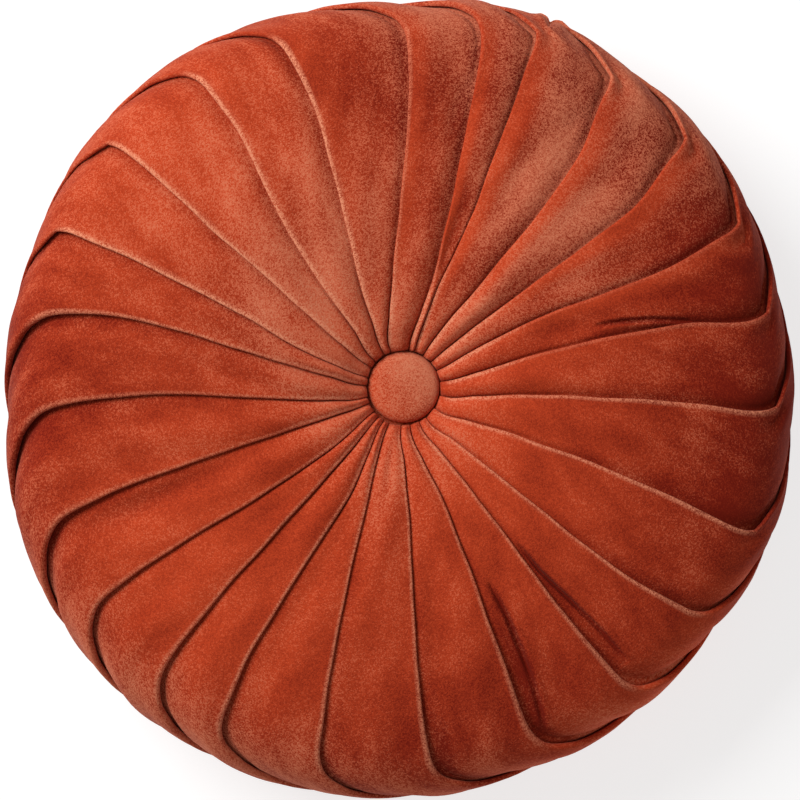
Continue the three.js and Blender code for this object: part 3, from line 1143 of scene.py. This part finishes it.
@dataclass
class NodeBench:
    """Adds the nodes of one material and joins them."""

    material: bpy.types.Material
    grain: Grain

    def add(self, kind: str) -> bpy.types.Node:
        """Add a node of a kind."""
        return self.material.node_tree.nodes.new(kind)

    def feed(self, socket: bpy.types.NodeSocket, value: Source) -> None:
        """Give an input a value, or link another node's output to it.

        Args:
            socket: the input.
            value: a number or a colour, or the output.
        """
        if isinstance(value, bpy.types.NodeSocket):
            self.material.node_tree.links.new(value, socket)
        elif isinstance(value, tuple):
            socket.default_value = (*value, 1.0)
        else:
            socket.default_value = value

    def place(self) -> bpy.types.NodeSocket:
        """Read the place that the nap's patterns are laid on.

        Returns:
            The place as a vector.
        """
        if self.grain is Grain.PIECE:
            return self.add("ShaderNodeTexCoord").outputs["Object"]
        lay = self.add("ShaderNodeAttribute")
        lay.attribute_name = "lay"
        return lay.outputs["Vector"]

    def noise(self, scale: float, detail: float, along: float) -> bpy.types.NodeSocket:
        """Add a noise that follows the grain.

        Args:
            scale: how fine it is.
            detail: how many finer layers it has.
            along: how much it is squeezed along the grain, where less than 1 stretches it.

        Returns:
            The noise, about a half on average.
        """
        stretched = self.add("ShaderNodeMapping")
        stretched.inputs["Scale"].default_value = (1.0, along, 1.0)
        self.feed(stretched.inputs["Vector"], self.place())
        made = self.add("ShaderNodeTexNoise")
        made.inputs["Scale"].default_value = scale
        made.inputs["Detail"].default_value = detail
        self.feed(made.inputs["Vector"], stretched.outputs["Vector"])
        return made.outputs["Fac"]

    def cells(self, scale: float) -> bpy.types.NodeSocket:
        """Add a pattern of small cells, each as dark or pale as chance has it.

        Args:
            scale: how fine it is.

        Returns:
            The pattern, about a half on average.
        """
        made = self.add("ShaderNodeTexVoronoi")
        made.inputs["Scale"].default_value = scale
        self.feed(made.inputs["Vector"], self.place())
        split = self.add("ShaderNodeSeparateColor")
        self.feed(split.inputs[0], made.outputs["Color"])
        return split.outputs[0]

    def attribute(self, name: str) -> bpy.types.NodeSocket:
        """Read one of the piece's own values.

        Args:
            name: the attribute's name.

        Returns:
            The value.
        """
        read = self.add("ShaderNodeAttribute")
        read.attribute_name = name
        return read.outputs["Fac"]

    def worked_out(self, operation: str, *values: Source, clamp: bool = False) -> bpy.types.NodeSocket:
        """Work out a value from others.

        Args:
            operation: Blender's name for what is done with them.
            values: the values in their order.
            clamp: whether the result is kept between 0 and 1.

        Returns:
            The result.
        """
        sum_node = self.add("ShaderNodeMath")
        sum_node.operation = operation
        sum_node.use_clamp = clamp
        for socket, value in zip(sum_node.inputs, values):
            self.feed(socket, value)
        return sum_node.outputs[0]

    def mixed(self, share: Source, first: Source, second: Source) -> bpy.types.NodeSocket:
        """Mix a colour into another.

        Args:
            share: how much of the second one there is.
            first: the colour that is there already.
            second: the colour that is mixed into it.

        Returns:
            The mixed colour.
        """
        mix = self.add("ShaderNodeMix")
        mix.data_type = "RGBA"
        for name, value in (("Factor", share), ("A", first), ("B", second)):
            self.feed(mix.inputs[name], value)
        return mix.outputs["Result"]


@dataclass(frozen=True)
class Velvet:
    """A short dense nap: painted light and shade between a shaded deep tone and a lit bright tone, a dusty
    tone that is partly painted sheen, and pale rubbed fold edges with painted highlight.
    """

    name: str
    grain: Grain
    # The shaded deep tone and the lit bright tone: painted light and shade lies between them.
    shaded_deep: Colour = (0.225, 0.0165, 0.0048)
    bright: Colour = (0.53, 0.058, 0.016)
    dust_and_sheen: Colour = (0.6, 0.185, 0.098)
    worn_and_highlight: Colour = (0.72, 0.26, 0.145)
    sheen: Colour = (1.0, 0.5, 0.36)
    own_bright: float = 0.0
    own_dusty: float = 0.0
    least_bright: float = -0.18
    speckle_scale: float = 1800.0
    speckle_bright: float = 0.55
    speckle_dusty: float = 0.8
    speckle_worn: float = 1.4
    even_worn: float = 0.1
    patterns: tuple[Pattern, ...] = (
        Pattern(90.0, 1.0, 0.5, 0.8, 0.75),
        Pattern(28.0, 1.0, 0.5, 0.8, 0.9),
    )
    tufts: tuple[float, float, float] = (2000.0, 1.0, 0.8)  # scale, detail and squeeze along the grain
    tuft_height: float = 0.5 * MM
    tuft_strength: float = 0.45
    roughness: float = 0.95
    specular: float = 0.1
    sheen_weight: float = 0.09
    sheen_roughness: float = 0.4

    def material(self) -> bpy.types.Material:
        """Make the velvet's material.

        Returns:
            The material.
        """
        made = bpy.data.materials.new(self.name)
        made.use_nodes = True
        bench = NodeBench(made, self.grain)
        speckle = bench.cells(self.speckle_scale)
        # Each pattern is about a half on average, so half of its weight is taken off again.
        all_bright = self.speckle_bright + sum(pattern.bright for pattern in self.patterns)
        all_dusty = self.speckle_dusty + sum(pattern.dust_and_sheen for pattern in self.patterns)
        add = "MULTIPLY_ADD"
        brightness = bench.worked_out(add, speckle, self.speckle_bright, self.own_bright - all_bright / 2.0)
        dust = bench.worked_out(add, speckle, self.speckle_dusty, self.own_dusty - all_dusty / 2.0)
        for pattern in self.patterns:
            value = bench.noise(pattern.scale, pattern.detail, pattern.along)
            brightness = bench.worked_out(add, value, pattern.bright, brightness)
            dust = bench.worked_out(add, value, pattern.dust_and_sheen, dust)
        brightness = bench.worked_out(add, bench.attribute("bright"), 1.0, brightness)
        brightness = bench.worked_out("MAXIMUM", brightness, self.least_bright)
        dust = bench.worked_out(add, bench.attribute("dust_and_sheen"), 1.0, dust)
        rubbed_and_highlight = bench.worked_out(add, speckle, self.speckle_worn, self.even_worn)
        rubbed_and_highlight = bench.worked_out("MULTIPLY", rubbed_and_highlight, bench.attribute("worn_and_highlight"), clamp=True)
        # Painted light and shade, from the shaded deep tone to the lit bright tone.
        colour = bench.mixed(brightness, self.shaded_deep, self.bright)
        colour.node.clamp_factor = False
        colour.node.clamp_result = True
        # The pale dusty tone of brushed nap, partly painted sheen.
        colour = bench.mixed(dust, colour, self.dust_and_sheen)
        # Pale fold edges: rubbed nap with a painted highlight.
        colour = bench.mixed(rubbed_and_highlight, colour, self.worn_and_highlight)
        bump = bench.add("ShaderNodeBump")
        bench.feed(bump.inputs["Strength"], self.tuft_strength)
        bench.feed(bump.inputs["Distance"], self.tuft_height)
        bench.feed(bump.inputs["Height"], bench.noise(*self.tufts))
        shader = made.node_tree.nodes["Principled BSDF"]
        for name, value in (
            ("Base Color", colour),
            ("Roughness", self.roughness),
            ("Specular IOR Level", self.specular),
            ("Sheen Weight", self.sheen_weight),
            ("Sheen Roughness", self.sheen_roughness),
            ("Sheen Tint", self.sheen),
            ("Normal", bump.outputs["Normal"]),
        ):
            bench.feed(shader.inputs[name], value)
        return made


@dataclass
class Studio:
    """A pale floor, soft lights and a camera straight above the cushion."""

    camera_distance: float = 2.0
    sensor: float = 36.0
    shown_width: float = 406.6 * MM
    shown_height: float = 50.0 * MM  # the height of the widest section, where the width is measured
    floor_size: float = 12.0
    paper: float = 0.35
    paper_roughness: float = 0.9
    paper_glow: float = 0.72  # keeps the floor white in the cushion's shade
    surround: Colour = (1.0, 0.98, 0.96)
    surround_strength: float = 0.32
    key_place: tuple[float, float, float] = (-1.16, 0.9, 1.5)
    key_size: float = 1.15
    key_power: float = 44.0

    def build(self) -> None:
        """Make the floor, the lights, the world and the camera."""
        bm = bmesh.new()
        bmesh.ops.create_grid(bm, x_segments=1, y_segments=1, size=self.floor_size)
        floor = finished("studio_floor", bm)
        paper = bpy.data.materials.new("pale_paper")
        paper.use_nodes = True
        surface = paper.node_tree.nodes["Principled BSDF"]
        surface.inputs["Base Color"].default_value = (self.paper, self.paper, self.paper, 1.0)
        surface.inputs["Roughness"].default_value = self.paper_roughness
        surface.inputs["Emission Color"].default_value = (1.0, 1.0, 1.0, 1.0)
        surface.inputs["Emission Strength"].default_value = self.paper_glow
        floor.data.materials.append(paper)

        world = bpy.data.worlds.new("soft_surround")
        world.use_nodes = True
        background = world.node_tree.nodes["Background"]
        background.inputs["Color"].default_value = (*self.surround, 1.0)
        background.inputs["Strength"].default_value = self.surround_strength
        bpy.context.scene.world = world

        key = bpy.data.lights.new("key", "AREA")
        key.size = self.key_size
        key.energy = self.key_power
        lamp = bpy.data.objects.new("key", key)
        lamp.location = self.key_place
        lamp.rotation_euler = (-Vector(self.key_place)).to_track_quat("-Z", "Y").to_euler()
        bpy.context.collection.objects.link(lamp)

        camera_data = bpy.data.cameras.new("camera")
        camera_data.sensor_width = self.sensor
        camera_data.lens = self.sensor * (self.camera_distance - self.shown_height) / self.shown_width
        camera = bpy.data.objects.new("camera", camera_data)
        camera.location = (0.0, 0.0, self.camera_distance)
        bpy.context.collection.objects.link(camera)
        bpy.context.scene.camera = camera
        bpy.context.scene.view_settings.view_transform = "Standard"


def report(piece: bpy.types.Object) -> None:
    """Log a piece and its number of faces."""
    log.info("%s: %d faces", piece.name, len(piece.data.polygons))


def main() -> None:
    """Build the cushion piece by piece, then the studio round it."""
    log.info("frame: %d nodes", len(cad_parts))
    form = CushionForm()
    velvet = Velvet("rust_velvet", Grain.PLEATS, own_dusty=-0.27).material()
    cover = PleatedCover(form).build()
    cover.data.materials.append(velvet)
    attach(cover, BODY)
    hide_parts("pleated_cover")
    report(cover)

    button_velvet = Velvet("button_velvet", Grain.PIECE, own_bright=0.85, own_dusty=0.5).material()
    for node, name, faces_up in (
        ("front_button", "front_covered_button", True),
        ("back_button", "back_covered_button", False),
    ):
        button = CoveredButton(node, name, faces_up).build()
        button.data.materials.append(button_velvet)
        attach(button, BODY)
        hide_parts(node)
        report(button)

    Studio().build()


if __name__ == "__main__":
    logging.basicConfig(level=logging.INFO, format="%(name)s: %(message)s")
    main()
